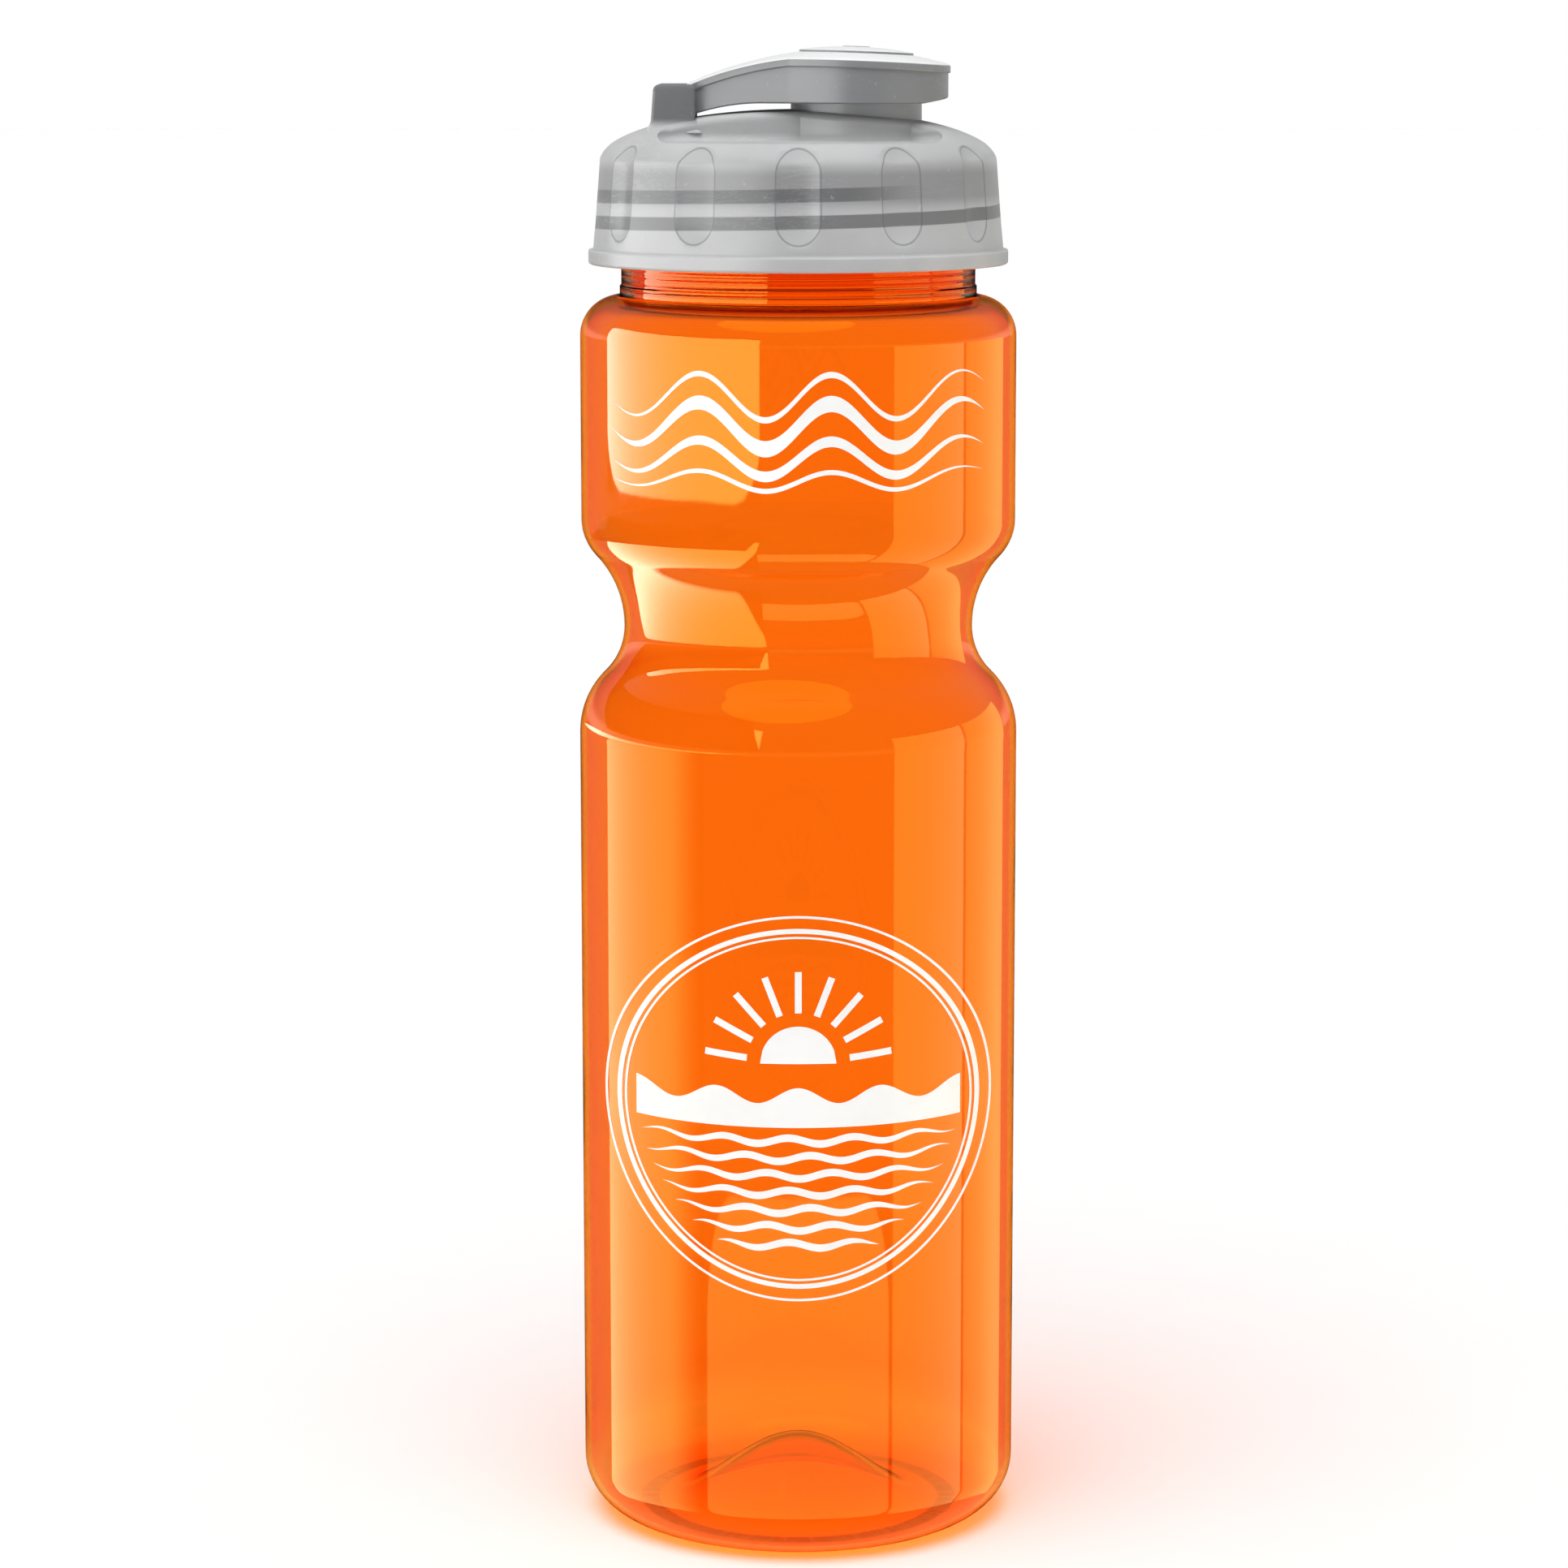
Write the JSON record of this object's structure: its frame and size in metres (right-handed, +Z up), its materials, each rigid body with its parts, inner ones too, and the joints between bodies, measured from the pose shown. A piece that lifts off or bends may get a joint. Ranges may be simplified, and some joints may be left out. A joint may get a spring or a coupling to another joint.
{
  "type": "sports squeeze bottle",
  "caption": "Transparent wide-mouth squeeze bottle with a gripping waist, a screw-on frosted cap and a flip-up lever that plugs its drinking spout.",
  "frame": {"origin": "centre of the standing ring, on the surface the bottle stands on", "axes": "+Z up along the bottle's axis, +X from the hinge towards the spout, -Y towards the printed front"},
  "size_m": [0.0732, 0.0732, 0.2476],
  "materials": {
    "bottle_plastic": "clear glossy orange",
    "print_ink": "opaque white screen print",
    "gasket_rubber": "soft translucent white",
    "cap_plastic": "frosted translucent grey",
    "pin_plastic": "satin grey",
    "lever_plastic": "frosted translucent grey",
    "plug_rubber": "soft translucent white"
  },
  "bodies": {
    "bottle": {"bottle_body": "bottle_plastic"},
    "seal": {"cap_gasket": "gasket_rubber"},
    "cap": {"screw_cap": "cap_plastic", "hinge_pin": "pin_plastic"},
    "lever": {"flip_lever": "lever_plastic", "spout_plug": "plug_rubber"}
  },
  "joints": [
    {"name": "cap_lift", "type": "slide", "parent": "bottle", "child": "seal", "axis": [0, 0, 1], "range_m": [0, 0.0048]},
    {"name": "cap_turn", "type": "hinge", "parent": "seal", "child": "cap", "pos_m": [0, 0, 0.2122], "axis": [0, 0, 1], "range_deg": [0, 405]},
    {"name": "lever_flip", "type": "hinge", "parent": "cap", "child": "lever", "pos_m": [-0.0202, 0, 0.239], "axis": [0, -1, 0], "range_deg": [0, 115]}
  ],
  "couplings": [
    {"joint": "cap_lift", "follows": "cap_turn", "m_per_rad": 0.00067323}
  ]
}
